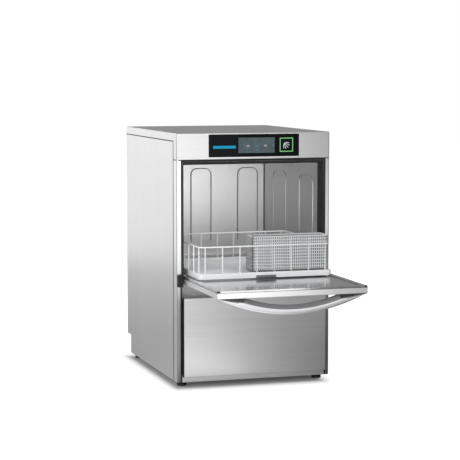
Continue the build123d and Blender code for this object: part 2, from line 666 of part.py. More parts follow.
def door_hinge_lever():
    """Hinge shaft with the lever that pulls on the balance spring."""
    x = (POST_FACE + 1.7, POST_FACE + 3.7)
    shaft = rod("x", (PIVOT_DEPTH, PIVOT_Z), (199.0, POST_FACE + 11.0), HINGE_R)
    shaft += rod("x", (PIVOT_DEPTH, PIVOT_Z), x, 8.8)
    arm = Box(x[1] - x[0], LEVER, 8.0)
    shaft += Pos(sum(x) / 2, FRONT + PIVOT_DEPTH, PIVOT_Z) * Rot(45, 0, 0) * Pos(0, LEVER / 2, 0) * arm
    return shaft + rod("x", (SPRING_DEPTH, SPRING_TOP), (x[0], SPRING_X), PIN_R)


def door_spring():
    """Close-wound extension spring as a tube, with a flat eye on the lever's pin and on the base anchor."""
    centre = (SPRING_X, SPRING_DEPTH)
    spring = rod("z", centre, (SPRING_LOW + 8, SPRING_TOP - 8), 4.2)
    spring -= rod("z", centre, (SPRING_LOW + 10, SPRING_TOP - 10), 2.4)
    x = (SPRING_X - 2.6, SPRING_X - 1.0)
    for z, end in ((SPRING_LOW, SPRING_LOW + 8), (SPRING_TOP, SPRING_TOP - 8)):
        spring += rod("x", (SPRING_DEPTH, z), x, 5.0)
        spring += block(x, (SPRING_DEPTH - 2, SPRING_DEPTH + 2), sorted((z, end)))
        spring -= rod("x", (SPRING_DEPTH, z), x, PIN_R + RUNNING)
    return spring


def spring_anchor():
    """Upright on the base tray with the pin that holds the spring's lower end."""
    side = (SPRING_X - 6.0, SPRING_X - 4.0)
    strap = block(side, (SPRING_DEPTH - 6, SPRING_DEPTH + 26), (STAND, SPRING_LOW + 6))
    plate_x, plate_depth = (POST_FACE - 3.0, HALF - 2.2), (SPRING_DEPTH + 8, SPRING_DEPTH + 26)
    foot_plate = block(plate_x, plate_depth, (STAND, STAND + 3))
    return strap + foot_plate + rod("x", (SPRING_DEPTH, SPRING_LOW), (side[0], SPRING_X), PIN_R)


def handle_disc(drop, half, inset=0.0):
    """Disc that hangs drop below the door's underside in the middle and meets it at half to each side."""
    radius = (half ** 2 + drop ** 2) / (2 * drop)
    return Pos(0, radius - drop) * Circle(radius - inset)


def handle_bar(profile):
    """Turns a profile drawn on X and Z into a bar along the door's far edge."""
    place = Pos(0, FRONT - DOOR_REACH + HANDLE_SETBACK, DOOR_OUTER_Z) * Rot(90, 0, 0)
    return place * extrude(profile, -HANDLE_DEPTH)


def handle_window():
    return Pos(0, -HANDLE_DROP - 10) * Rectangle(2 * HANDLE_HALF, 2 * HANDLE_DROP + 20)


def handle_pocket(gap):
    """Space in one end of the handle for its black insert."""
    depth = (-DOOR_REACH + 4 + gap, -DOOR_REACH + 17 - gap)
    return block((136.5 + gap, 178.0 - gap), depth, (280.0 + gap, DOOR_OUTER_Z))


def door_handle():
    """Bow handle: a curved flat bar that springs from the door's far corners."""
    bow = handle_disc(HANDLE_DROP, HANDLE_HALF) - handle_disc(24.0, 136.0)
    pocket = handle_pocket(0)
    return handle_bar(bow & handle_window()) - pocket - mirror(pocket, about=Plane.YZ)


def handle_insert():
    """Black filler that closes the pocket in each end of the handle."""
    return handle_pocket(0.5) & handle_bar(handle_disc(HANDLE_DROP, HANDLE_HALF, 5.0) & handle_window())


# ---- rack and basket ----
def rack_base():
    """Base ring with a grid floor."""
    x, depth = RACK_HALF, (RACK_FRONT, RACK_FRONT + RACK_LENGTH)
    ring = block((-x, x), depth, (RACK_BOTTOM, RACK_BASE_TOP))
    ring = fillet(upright_edges(ring), 12.0)
    rim = 9.0
    ring -= block((-x + rim, x - rim), (depth[0] + rim, depth[1] - rim), (RACK_BOTTOM - 1, RACK_BASE_TOP + 1))
    bar, bar_z = 2.5, (RACK_BOTTOM + 4, RACK_BOTTOM + 9)
    for place in spread(9, -x + 46, x - 46):
        ring += block((place - bar, place + bar), (depth[0] + 4, depth[1] - 4), bar_z)
        across = RACK_FRONT + RACK_LENGTH / 2 + place
        ring += block((-x + 4, x - 4), (across - bar, across + bar), bar_z)
    notch = block((-GRIP_HALF, GRIP_HALF), (depth[0] - 1, depth[0] + 6), (RACK_BOTTOM - 1, GRIP_TOP))
    return ring - notch


def rack_grip():
    """Dark ribbed finger grip in the rack's front edge."""
    half = GRIP_HALF - 0.4
    z = (RACK_BOTTOM + 0.3, GRIP_TOP - 0.2)
    grip = block((-half, half), (RACK_FRONT, RACK_FRONT + 5.8), z)
    for x in spread(13, -half + 3, half - 3):
        grip += block((x - 1.2, x + 1.2), (RACK_FRONT - 1.4, RACK_FRONT + 1), z)
    return grip


def rack_wires():
    """Wire walls: a top rail all round on uprights that stand on the base."""
    wire = 1.6
    inset = 3.5
    x, front, back = RACK_HALF - inset, RACK_FRONT + inset, RACK_FRONT + RACK_LENGTH - inset
    rail_z = (RACK_RIM - 2 * wire, RACK_RIM)
    frame = block((-x - wire, x + wire), (front - wire, back + wire), rail_z)
    frame -= block((-x + wire, x - wire), (front + wire, back - wire), (rail_z[0] - 1, rail_z[1] + 1))
    upright_z = (RACK_BASE_TOP, RACK_RIM - wire)
    for place in spread(8, -x, x):
        for depth in (front, back):
            frame += block((place - wire, place + wire), (depth - wire, depth + wire), upright_z)
    for depth in spread(8, front, back)[1:-1]:
        for side in (-x, x):
            frame += block((side - wire, side + wire), (depth - wire, depth + wire), upright_z)
    return frame


def cutlery_basket():
    """Slim basket on the base's front edge, with a grid of holes in both long walls."""
    wall = 2.0
    x, depth, z = BASKET_X, BASKET_DEPTH, BASKET_Z
    basket = fillet(upright_edges(block(x, depth, z)), 5.0)
    basket -= block((x[0] + wall, x[1] - wall), (depth[0] + wall, depth[1] - wall), (z[0] + wall, z[1] + 1))
    for divider in spread(5, x[0], x[1])[1:-1]:
        basket += block((divider - 1, divider + 1), (depth[0] + 1, depth[1] - 1), (z[0] + 1, z[1] - 4))
    windows = []
    for low in spread(6, z[0] + 6, z[1] - 20):
        for left in spread(14, x[0] + 8, x[1] - 17):
            windows.append(block((left, left + 9), (depth[0] - 1, depth[0] + wall + 0.5), (low, low + 9)))
            windows.append(block((left, left + 9), (depth[1] - wall - 0.5, depth[1] + 1), (low, low + 9)))
    return basket - windows


# ---- write one file per node ----
def nodes():
    panel = side_panel()
    sides = {
        "left_side_panel": panel,
        "right_side_panel": mirror(panel, about=Plane.YZ),
        "corner_posts": both_sides(corner_post()),
    }
    casing = {
        "base_tray": base_tray(),
        "rear_panel": rear_panel(),
        "panel_screws": panel_screws(),
        "hood_cover": hood_cover(),
        "lower_front_panel": lower_front_panel(),
        "sill_plate": sill_plate(),
        "hinge_covers": both_sides(hinge_cover()),
        "hinge_bushes": both_sides(hinge_bush()),
    }
    chamber = {
        "wash_chamber": wash_chamber(),
        "wash_tank": wash_tank(),
        "tank_strainer": tank_strainer(),
        "strainer_basket": strainer_basket(),
        "rack_rails": both_sides(rack_rail()),
        "door_gasket": door_gasket(),
        "arm_stubs": group([
            arm_stub((276.0, 281.9), (188.0, TANK_BOTTOM), (TANK_BOTTOM, 276.0), (276.0, 314.0)),
            arm_stub((619.0, 620.9), (CHAMBER_CEILING + SHEET, 668.0), (646.0, 649.2), (619.0, 646.0)),
        ]),
    }
    wash_nozzles = nozzle_places(5, ARM_REACH)
    rinse_nozzles = nozzle_places(4, ARM_REACH)
    rinse_reach = ARM_REACH - 8
    arms = {
        "lower_wash_arm": spray_arm((282.1, 293.0), ARM_REACH, 34.0, 24.0, wash_nozzles, True),
        "lower_rinse_arm": spray_arm((299.0, 306.0), rinse_reach, 18.0, 16.0, rinse_nozzles, True),
        "upper_rinse_arm": spray_arm((621.1, 628.0), rinse_reach, 18.0, 16.0, rinse_nozzles, False),
        "upper_wash_arm": spray_arm((634.0, 645.0), ARM_REACH, 34.0, 24.0, wash_nozzles, False),
    }
    service = {
        "wash_pump_housing": wash_pump_housing(),
        "wash_pump_motor": wash_pump_motor(),
        "wash_impeller": wash_impeller(),
        "drain_pump_housing": drain_pump_housing(),
        "drain_impeller": drain_impeller(),
        "rinse_boiler": rinse_boiler(),
        "boiler_heater": boiler_heater(),
        "tank_heater": tank_heater(),
        "wash_pipes": wash_pipes(),
        "rinse_pipes": rinse_pipes(),
        "inlet_valve": inlet_valve(),
        "drain_spigot": drain_spigot(),
        "mains_cable": mains_cable(),
        "dosing_pump_cases": group([dosing_pump(x) for x in DOSERS.values()]),
    }
    rotors = {f"{name}_rotor": dosing_rotor(x) for name, x in DOSERS.items()}
    controls = {
        "control_glass": control_glass(),
        "start_light_ring": start_light_ring(),
        "start_button": start_button(),
        "display_module": display_module(),
        "control_housing": control_housing(),
        "control_board": control_board(),
        "power_box": power_box(),
    }
    door = {
        "door_outer_panel": door_outer_panel(),
        "door_inner_panel": door_inner_panel(),
        "door_corner_caps": both_sides(door_corner_cap()),
        "door_hinge_levers": both_sides(door_hinge_lever()),
        "door_springs": both_sides(door_spring()),
        "door_handle": door_handle(),
        "handle_inserts": both_sides(handle_insert()),
    }
    rack = {
        "rack_base": rack_base(),
        "rack_wires": rack_wires(),
        "rack_grip": rack_grip(),
        "cutlery_basket": cutlery_basket(),
    }
    feet = {}
    for (x, depth), name in zip(foot_places(), ("front_left", "front_right", "rear_left", "rear_right")):
        feet[f"foot_{name}"] = foot(x, depth)
    return {**sides, **casing, **chamber, **arms, **service, **rotors, **controls, **door, **rack, **feet}


os.makedirs("parts", exist_ok=True)
for name, shape in nodes().items():
    export_step(shape, f"parts/{name}.step")
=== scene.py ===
"""Commercial dishwasher: materials, fine pieces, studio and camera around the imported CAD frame."""
import math

import bmesh
import bpy
from mathutils import Matrix, Vector


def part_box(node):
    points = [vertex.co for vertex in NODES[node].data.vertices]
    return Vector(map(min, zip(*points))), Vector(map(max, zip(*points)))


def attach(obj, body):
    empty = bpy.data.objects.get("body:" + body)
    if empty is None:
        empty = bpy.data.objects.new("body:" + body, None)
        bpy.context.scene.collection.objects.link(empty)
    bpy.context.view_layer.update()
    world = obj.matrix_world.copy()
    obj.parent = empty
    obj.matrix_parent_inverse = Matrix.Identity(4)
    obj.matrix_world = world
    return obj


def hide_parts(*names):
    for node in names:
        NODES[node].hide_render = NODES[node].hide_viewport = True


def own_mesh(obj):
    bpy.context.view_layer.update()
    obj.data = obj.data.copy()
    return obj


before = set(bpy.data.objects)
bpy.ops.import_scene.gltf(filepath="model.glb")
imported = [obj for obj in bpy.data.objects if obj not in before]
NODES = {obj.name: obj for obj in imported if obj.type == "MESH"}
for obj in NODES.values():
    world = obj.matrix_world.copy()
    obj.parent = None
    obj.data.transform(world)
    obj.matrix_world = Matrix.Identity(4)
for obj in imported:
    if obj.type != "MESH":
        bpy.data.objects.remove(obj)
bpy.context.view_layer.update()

MM = 0.001


# ---------------------------------------------------------------- node helpers
def new_material(name):
    """A node material, with its tree and its Principled shader."""
    material = bpy.data.materials.new(name)
    material.use_nodes = True
    tree = material.node_tree
    return material, tree, tree.nodes["Principled BSDF"]


def add(tree, kind, **settings):
    """A shader node with its properties and input values set by name."""
    node = tree.nodes.new(kind)
    for key, value in settings.items():
        if hasattr(node, key):
            setattr(node, key, value)
        else:
            node.inputs[key.replace("_", " ")].default_value = value
    return node


def maths(tree, operation, value, other=0.0):
    """A maths node on a socket and a number."""
    node = add(tree, "ShaderNodeMath", operation=operation)
    tree.links.new(value, node.inputs[0])
    node.inputs[1].default_value = other
    return node.outputs[0]


def axes(tree, vector):
    """The X, Y and Z of a vector socket."""
    split = add(tree, "ShaderNodeSeparateXYZ")
    tree.links.new(vector, split.inputs[0])
    return split.outputs


def object_axes(tree):
    """The object coordinates' X, Y and Z, in metres."""
    return axes(tree, add(tree, "ShaderNodeTexCoord").outputs["Object"])


def coordinates(tree, scale):
    """Object coordinates in metres, stretched per axis."""
    source = add(tree, "ShaderNodeTexCoord")
    mapping = add(tree, "ShaderNodeMapping")
    mapping.inputs["Scale"].default_value = scale
    tree.links.new(source.outputs["Object"], mapping.inputs["Vector"])
    return mapping.outputs["Vector"]


def noise(tree, scale, detail=3.0, roughness=0.55):
    """Noise between 0 and 1, with scale its cells per metre along each axis."""
    node = add(tree, "ShaderNodeTexNoise", Scale=1.0, Detail=detail, Roughness=roughness)
    tree.links.new(coordinates(tree, scale), node.inputs["Vector"])
    return node.outputs["Fac"]


def ramp(tree, source, stops):
    """A colour ramp from (place, grey or colour) stops."""
    node = add(tree, "ShaderNodeValToRGB")
    elements = node.color_ramp.elements
    while len(elements) < len(stops):
        elements.new(0.5)
    for element, (place, value) in zip(elements, stops):
        element.position = place
        colour = (value,) * 3 if isinstance(value, (int, float)) else value
        element.color = (*colour, 1.0)
    tree.links.new(source, node.inputs["Fac"])
    return node.outputs["Color"]


def mix(tree, kind, factor, a, b):
    """Colours a and b mixed or multiplied. Each argument is a socket or a plain value."""
    node = add(tree, "ShaderNodeMix", data_type="RGBA", blend_type=kind)
    for socket, value in ((node.inputs[0], factor), (node.inputs[6], a), (node.inputs[7], b)):
        if isinstance(value, bpy.types.NodeSocket):
            tree.links.new(value, socket)
        elif socket.type == "RGBA":
            socket.default_value = (*value, 1.0)
        else:
            socket.default_value = value
    return node.outputs[2]


def bump(tree, height, strength, distance):
    """A bumped normal from a height socket, with distance in metres."""
    node = add(tree, "ShaderNodeBump", Strength=strength, Distance=distance)
    tree.links.new(height, node.inputs["Height"])
    return node.outputs["Normal"]


# ---------------------------------------------------------------- materials
GRAIN_FINE = 2600.0          # brush marks per metre, side by side
GRAIN_LONG = 9.0             # and along their length
ACROSS, DEEP, UPRIGHT = range(3)


def brushed_steel(name, grain, tone, roughness=0.34, streak=0.5, anisotropic=0.5, metallic=1.0):
    """Brushed stainless steel: grain is the axis the brush ran along, streak how strongly its marks show."""
    material, tree, shader = new_material(name)
    scale = [GRAIN_FINE] * 3
    scale[grain] = GRAIN_LONG
    fine = noise(tree, scale, 4.0, 0.6)
    broad = noise(tree, [s * 0.07 for s in scale], 2.0)
    cloud = noise(tree, (5.0, 5.0, 5.0), 2.0)
    low = [c * (1 - 0.10 * streak) for c in tone]
    high = [min(1.0, c * (1 + 0.07 * streak)) for c in tone]
    colour = ramp(tree, fine, ((0.3, low), (0.7, high)))
    colour = mix(tree, "MULTIPLY", 0.6 * streak, colour, ramp(tree, broad, ((0.35, 0.88), (0.65, 1.0))))
    colour = mix(tree, "MULTIPLY", 0.35, colour, ramp(tree, cloud, ((0.3, 0.92), (0.7, 1.0))))
    tree.links.new(colour, shader.inputs["Base Color"])
    rough = ramp(tree, fine, ((0.25, roughness - 0.05), (0.75, roughness + 0.09)))
    tree.links.new(rough, shader.inputs["Roughness"])
    tree.links.new(bump(tree, fine, 0.12 * streak, 0.00004), shader.inputs["Normal"])
    shader.inputs["Metallic"].default_value = metallic
    shader.inputs["Anisotropic"].default_value = anisotropic
    if grain == ACROSS:
        # one direction everywhere: a tangent taken round the object's centre would swirl on broad plates
        across = add(tree, "ShaderNodeCombineXYZ", X=1.0, Y=0.02, Z=0.0)
        tree.links.new(across.outputs[0], shader.inputs["Tangent"])
    return material


def darken_side_walls(material, half_width):
    """Painted shade on a steel box's side walls, darker beyond half_width from the centre plane."""
    tree = material.node_tree
    colour = tree.nodes["Principled BSDF"].inputs["Base Color"]
    distance = maths(tree, "ABSOLUTE", object_axes(tree)["X"])
    shade = ramp(tree, distance, ((half_width, 1.0), (half_width + 2 * MM, 0.74)))
    tree.links.new(mix(tree, "MULTIPLY", 1.0, colour.links[0].from_socket, shade), colour)


def shade_posts(material, top, fade, low_shade, side_shade):
    """Paints shade onto the posts' fronts beside the lower panel, where its proud edge shadows them, and a
    little onto their sides.
    """
    tree = material.node_tree
    colour = tree.nodes["Principled BSDF"].inputs["Base Color"]
    normal = add(tree, "ShaderNodeNewGeometry").outputs["Normal"]
    front = maths(tree, "LESS_THAN", axes(tree, normal)["Y"], -0.6)
    stops = ((0.0, low_shade), (top - fade, low_shade + 0.15), (top, 1.0))
    height = ramp(tree, object_axes(tree)["Z"], stops)
    shade = mix(tree, "MIX", front, (side_shade,) * 3, height)
    tree.links.new(mix(tree, "MULTIPLY", 1.0, colour.links[0].from_socket, shade), colour)


def plastic(name, tone, roughness=0.45, grain_size=1400.0, grain_depth=0.00006, mottle=0.06, coat=0.0):
    """Moulded plastic with a fine spark texture and slight mottling."""
    material, tree, shader = new_material(name)
    fine = noise(tree, (grain_size,) * 3, 2.0)
    cloud = noise(tree, (14.0, 14.0, 14.0), 3.0)
    low = [c * (1 - mottle) for c in tone]
    tree.links.new(ramp(tree, cloud, ((0.35, low), (0.65, tone))), shader.inputs["Base Color"])
    rough = ramp(tree, fine, ((0.3, roughness - 0.06), (0.7, roughness + 0.06)))
    tree.links.new(rough, shader.inputs["Roughness"])
    tree.links.new(bump(tree, fine, 0.35, grain_depth), shader.inputs["Normal"])
    shader.inputs["Coat Weight"].default_value = coat
    return material


def rubber(name, tone):
    """Moulded seal rubber: matt, with fine pores and a cloudy bloom."""
    material, tree, shader = new_material(name)
    pores = noise(tree, (900.0, 900.0, 900.0), 3.0)
    bloom = noise(tree, (30.0, 30.0, 30.0), 4.0)
    colour = ramp(tree, bloom, ((0.35, tone), (0.75, [c * 1.9 for c in tone])))
    tree.links.new(colour, shader.inputs["Base Color"])
    tree.links.new(ramp(tree, pores, ((0.3, 0.48), (0.7, 0.66))), shader.inputs["Roughness"])
    tree.links.new(bump(tree, pores, 0.5, 0.0001), shader.inputs["Normal"])
    shader.inputs["Specular IOR Level"].default_value = 0.25
    return material


def screen_glass(name, tone, roughness=0.06):
    """Printed glass: deep colour, with faint smears in its tone and gloss."""
    material, tree, shader = new_material(name)
    smear = noise(tree, (22.0, 22.0, 9.0), 4.0)
    colour = ramp(tree, smear, ((0.3, tone), (0.7, [c * 1.35 for c in tone])))
    tree.links.new(colour, shader.inputs["Base Color"])
    rough = ramp(tree, smear, ((0.3, roughness), (0.8, roughness + 0.07)))
    tree.links.new(rough, shader.inputs["Roughness"])
    shader.inputs["Specular IOR Level"].default_value = 0.06
    return material


def glow(name, tone, strength, falloff=0.25):
    """A lit surface whose brightness varies gently across it."""
    material, tree, shader = new_material(name)
    vary = noise(tree, (40.0, 40.0, 40.0), 2.0)
    colour = ramp(tree, vary, ((0.3, [c * (1 - falloff) for c in tone]), (0.7, tone)))
    shader.inputs["Base Color"].default_value = (0.01, 0.01, 0.01, 1.0)
    tree.links.new(colour, shader.inputs["Emission Color"])
    shader.inputs["Emission Strength"].default_value = strength
    shader.inputs["Roughness"].default_value = 0.25
    shader.inputs["Specular IOR Level"].default_value = 0.06
    return material


STEEL = (0.66, 0.66, 0.665)
# POST_STEEL and SKIN_STEEL are lighter copies of STEEL: painted light on the posts and the door skin
POST_STEEL = (0.80, 0.80, 0.805)
SKIN_STEEL = (0.77, 0.77, 0.775)
SILL_STEEL = (0.64, 0.64, 0.645)
CHAMBER_STEEL = (0.72, 0.72, 0.72)
INNER_STEEL = (0.60, 0.60, 0.61)
ZINC = (0.50, 0.51, 0.53)
MATERIALS = {
    "steel_x": brushed_steel("steel_brushed_across", ACROSS, STEEL),
    "steel_z": brushed_steel("steel_brushed_upright", UPRIGHT, STEEL),
    "post": brushed_steel("post_steel", UPRIGHT, POST_STEEL, 0.30, 0.4, anisotropic=0.4, metallic=0.95),
    "door_skin": brushed_steel("door_skin_steel", ACROSS, SKIN_STEEL, 0.34, streak=0.4, anisotropic=0.4),
    "sill": brushed_steel("sill_steel", ACROSS, SILL_STEEL, 0.50, streak=0.3, anisotropic=0.0, metallic=0.7),
    "chamber": brushed_steel("chamber_steel", UPRIGHT, CHAMBER_STEEL, 0.44, streak=0.12, anisotropic=0.1),
    "door_inside": brushed_steel("door_inside_steel", DEEP, INNER_STEEL, 0.13, streak=0.2, anisotropic=0.1),
    "galvanised": brushed_steel("zinc_plate", ACROSS, ZINC, 0.46, streak=1.0, anisotropic=0.0),
    "handle": brushed_steel("handle_satin", ACROSS, (0.66, 0.66, 0.67), 0.42, streak=0.3, anisotropic=0.2),
    # dark grey for the handle's upward sloping faces: painted shade
    "handle_slope_painted_shade": plastic("handle_slope_painted_shade", (0.155, 0.155, 0.16), 0.5),
    "black_plastic": plastic("black_plastic", (0.018, 0.018, 0.020), 0.42),
    "grey_plastic": plastic("grey_plastic", (0.10, 0.10, 0.105), 0.5),
    "grip_plastic": plastic("grip_plastic", (0.155, 0.155, 0.16), 0.55),
    "pipe_plastic": plastic("pipe_plastic", (0.42, 0.42, 0.40), 0.5),
    "white_plastic": plastic("rack_plastic", (0.86, 0.87, 0.88), 0.42, coat=0.1),
    # dark grey for the basket's inward faces: painted shade
    "white_plastic_painted_shade": plastic("rack_plastic_painted_shade", (0.14, 0.14, 0.14), 0.5),
    "wire_coat": plastic("wire_coat", (0.86, 0.87, 0.88), 0.34, grain_size=800.0, grain_depth=0.00004,
                         mottle=0.04, coat=0.3),
    "motor": plastic("motor_paint", (0.13, 0.14, 0.15), 0.38, coat=0.3),
    "circuit": plastic("circuit_lacquer", (0.02, 0.13, 0.05), 0.3, coat=0.6),
    "rubber": rubber("seal_rubber", (0.010, 0.010, 0.011)),
    "rubber_grey": rubber("seal_rubber_grey", (0.075, 0.075, 0.078)),
    # dark_crease: dark seams and welds, and painted shade along creases
    "crease": plastic("dark_crease", (0.055, 0.055, 0.058), 0.5),
    # lit_crease: painted highlight beside the creases, also the light trim round the panel's glass
    "crease_light": plastic("lit_crease", (0.85, 0.85, 0.85), 0.4),
    "glass": screen_glass("panel_glass", (0.003, 0.004, 0.005)),
    "led_green": glow("start_light", (0.20, 0.56, 0.19), 1.0),
    "screen": glow("screen_picture", (0.100, 0.138, 0.153), 0.85, 0.3),
    "bar_blue": glow("panel_blue", (0.004, 0.30, 0.50), 1.0, 0.1),
    "icon_white": glow("icon_white", (0.80, 0.85, 0.87), 1.0, 0.1),
    "icon_cyan": glow("icon_cyan", (0.05, 0.36, 0.46), 1.0, 0.1),
    "icon_dim": glow("icon_dim", (0.20, 0.26, 0.29), 1.0, 0.1),
}
# painted shade on the wash chamber's side walls
darken_side_walls(MATERIALS["chamber"], half_width=208.5 * MM)
# painted shadow on the posts' lower fronts, painted shade on their sides
shade_posts(MATERIALS["post"], top=330 * MM, fade=90 * MM, low_shade=0.26, side_shade=0.84)
NODE_MATERIAL = {
    "steel_z": "left_side_panel right_side_panel rear_panel",
    "steel_x": "hood_cover lower_front_panel base_tray",
    "post": "corner_posts",
    "door_skin": "door_outer_panel",
    "sill": "sill_plate",
    "door_inside": "door_inner_panel",
    "chamber": "wash_chamber wash_tank tank_strainer rack_rails strainer_basket arm_stubs lower_wash_arm "
               "upper_wash_arm lower_rinse_arm upper_rinse_arm rinse_boiler",
    "galvanised": "panel_screws door_hinge_levers door_springs boiler_heater tank_heater",
    "handle": "door_handle",
    "black_plastic": "door_corner_caps handle_inserts foot_front_left foot_front_right "
                     "foot_rear_left foot_rear_right mains_cable",
    "grip_plastic": "rack_grip",
    "grey_plastic": "control_housing power_box wash_pump_housing wash_impeller drain_pump_housing "
                    "drain_impeller dosing_pump_cases detergent_rotor rinse_aid_rotor inlet_valve "
                    "drain_spigot hinge_bushes",
    "pipe_plastic": "wash_pipes rinse_pipes",
    "white_plastic": "rack_base cutlery_basket",
    "wire_coat": "rack_wires",
    "motor": "wash_pump_motor",
    "circuit": "control_board",
    "rubber": "door_gasket hinge_covers",
    "glass": "control_glass start_button display_module",
    "led_green": "start_light_ring",
}


def paint(obj, material):
    """Gives obj this one material."""
    obj.data.materials.clear()
    obj.data.materials.append(material)


def dress_cad_nodes():
    """Materials for every CAD node, also for those a finer piece stands for."""
    for key, names in NODE_MATERIAL.items():
        for name in names.split():
            paint(NODES[name], MATERIALS[key])


# ---------------------------------------------------------------- piece helpers
def new_object(name, mesh, material):
    """A painted object in the scene from a mesh."""
    obj = bpy.data.objects.new(name, mesh)
    bpy.context.scene.collection.objects.link(obj)
    paint(obj, material)
    return obj


def finish_mesh(name, bm, material, smooth=True):
    """A painted object from a bmesh, with its normals outward."""
    bmesh.ops.recalc_face_normals(bm, faces=bm.faces)
    mesh = bpy.data.meshes.new(name)
    bm.to_mesh(mesh)
    bm.free()
    for polygon in mesh.polygons:
        polygon.use_smooth = smooth
    return new_object(name, mesh, material)


def wire_object(name, paths, radius, material, closed=False, resolution=3):
    """Round wires along paths, as one closed mesh per wire."""
    curve = bpy.data.curves.new(name, "CURVE")
    curve.dimensions = "3D"
    curve.bevel_depth = radius
    curve.bevel_resolution = resolution
    curve.use_fill_caps = True
    for path in paths:
        spline = curve.splines.new("POLY")
        spline.points.add(len(path) - 1)
        for point, place in zip(spline.points, path):
            point.co = (*place, 1.0)
        spline.use_cyclic_u = closed
    shape = bpy.data.objects.new(name + "_path", curve)
    bpy.context.scene.collection.objects.link(shape)
    mesh = bpy.data.meshes.new_from_object(shape.evaluated_get(bpy.context.evaluated_depsgraph_get()))
    bpy.data.objects.remove(shape)
    mesh.name = name
    for polygon in mesh.polygons:
        polygon.use_smooth = True
    return new_object(name, mesh, material)


def rounded_loop(low, high, radius, z, steps=6):
    """Corner-rounded rectangle in plan, at height z."""
    centres = ((high[0] - radius, high[1] - radius), (low[0] + radius, high[1] - radius),
               (low[0] + radius, low[1] + radius), (high[0] - radius, low[1] + radius))
    loop = []
    for corner, (x, y) in enumerate(centres):
        for step in range(steps + 1):
            angle = math.pi / 2 * (corner + step / steps)
            loop.append((x + radius * math.cos(angle), y + radius * math.sin(angle), z))
    return loop


def spread(count, low, high):
    """Evenly spaced places from low to high."""
    return [low + (high - low) * i / (count - 1) for i in range(count)]


def bridge(bm, ring, following):
    """Faces between two closed loops with the same number of vertices."""
    count = len(ring)
    for i in range(count):
        j = (i + 1) % count
        bm.faces.new((ring[i], ring[j], following[j], following[i]))


def add_box(bm, low, high):
    """A plain box inside a larger mesh."""
    size = [h - l for l, h in zip(low, high)]
    centre = [(h + l) / 2 for l, h in zip(low, high)]
    matrix = Matrix.Translation(centre) @ Matrix.Diagonal((*size, 1.0))
    bmesh.ops.create_cube(bm, size=1.0, matrix=matrix)


# ---------------------------------------------------------------- rack and cutlery basket
def make_rack_wires():
    """Rail wire round the top of the rack, and the upright wires that carry it."""
    low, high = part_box("rack_wires")
    base_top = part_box("rack_base")[1].z
    rail_r, wire_r = 2.3 * MM, 1.8 * MM
    inset = rail_r
    x, front, back = high.x - inset, low.y + inset, high.y - inset
    foot, top = base_top - 3 * MM, high.z - rail_r
    corner, per_side = 14 * MM, 8
    loops = [rounded_loop((-x, front), (x, back), corner, top)]
    rails = wire_object("rack_rail_wires", loops, rail_r, MATERIALS["wire_coat"], closed=True, resolution=4)
    uprights = []
    for place in spread(per_side, -x + corner, x - corner):
        for y in (front, back):
            uprights.append([(place, y, foot), (place, y, top)])
    for y in spread(per_side, front + corner, back - corner):
        for side in (-x, x):
            uprights.append([(side, y, foot), (side, y, top)])
    posts = wire_object("rack_upright_wires", uprights, wire_r, MATERIALS["wire_coat"])
    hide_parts("rack_wires")
    for piece in (rails, posts):
        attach(piece, "rack")


GRIP_FILL = 0.78          # height of the finger grip, as a share of its box


def make_rack_base():
    """Base tray of the rack: a rim with rounded corners and a finger notch around a floor grid."""
    low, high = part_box("rack_base")
    grip_low, grip_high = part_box("rack_grip")
    height = high.z - low.z
    rim, corner, corner_steps = 9 * MM, 12 * MM, 6
    notch_half, notch_deep = grip_high.x + 0.4 * MM, 6.2 * MM
    notch_top = grip_low.z + GRIP_FILL * (grip_high.z - grip_low.z) + 0.4 * MM - low.z
    outline = (
        (1 * MM, 0.0), (0.0, 1 * MM), (0.0, notch_top - 0.2 * MM), (0.0, notch_top),
        (0.0, height - 1.4 * MM), (1.4 * MM, height), (rim - 1.2 * MM, height),
        (rim, height - 1.2 * MM), (rim, 1 * MM), (rim - 1 * MM, 0.0),
    )
    notched = ((notch_deep + 1 * MM, 0.0), (notch_deep, 1 * MM), (notch_deep, notch_top)) + outline[3:]
    bm = bmesh.new()
    sections = []
    for (inset, lift), (cut_inset, cut_lift) in zip(outline, notched):
        loop = rounded_loop((low.x + inset, low.y + inset), (high.x - inset, high.y - inset),
                            max(corner - inset, 2 * MM), low.z + lift, corner_steps)
        whole = (low.y + inset, low.z + lift)
        cut = (low.y + cut_inset, low.z + cut_lift)
        edge = [(-notch_half, *whole), (-notch_half, *cut), (notch_half, *cut), (notch_half, *whole)]
        front = 3 * (corner_steps + 1)
        loop[front:front] = edge
        sections.append([bm.verts.new(v) for v in loop])
    for ring, following in zip(sections, sections[1:] + sections[:1]):
        bridge(bm, ring, following)
    bmesh.ops.remove_doubles(bm, verts=bm.verts, dist=1e-6)
    frame_piece = finish_mesh("rack_base_rim", bm, MATERIALS["white_plastic"])
    frame_piece.modifiers.new("normals", "WEIGHTED_NORMAL")
    bars, bar_r, inset = 25, 1.5 * MM, 16 * MM
    into_rim, behind_notch = 5 * MM, 7.5 * MM
    z = low.z + 6 * MM
    lines = []
    for place in spread(bars, low.x + inset, high.x - inset):
        lines.append([(place, low.y + behind_notch, z), (place, high.y - into_rim, z)])
    for place in spread(bars, low.y + inset, high.y - inset):
        lines.append([(low.x + into_rim, place, z + bar_r), (high.x - into_rim, place, z + bar_r)])
    grid = wire_object("rack_floor_grid", lines, bar_r, MATERIALS["white_plastic"], resolution=1)
    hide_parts("rack_base")
    for piece in (frame_piece, grid):
        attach(piece, "rack")


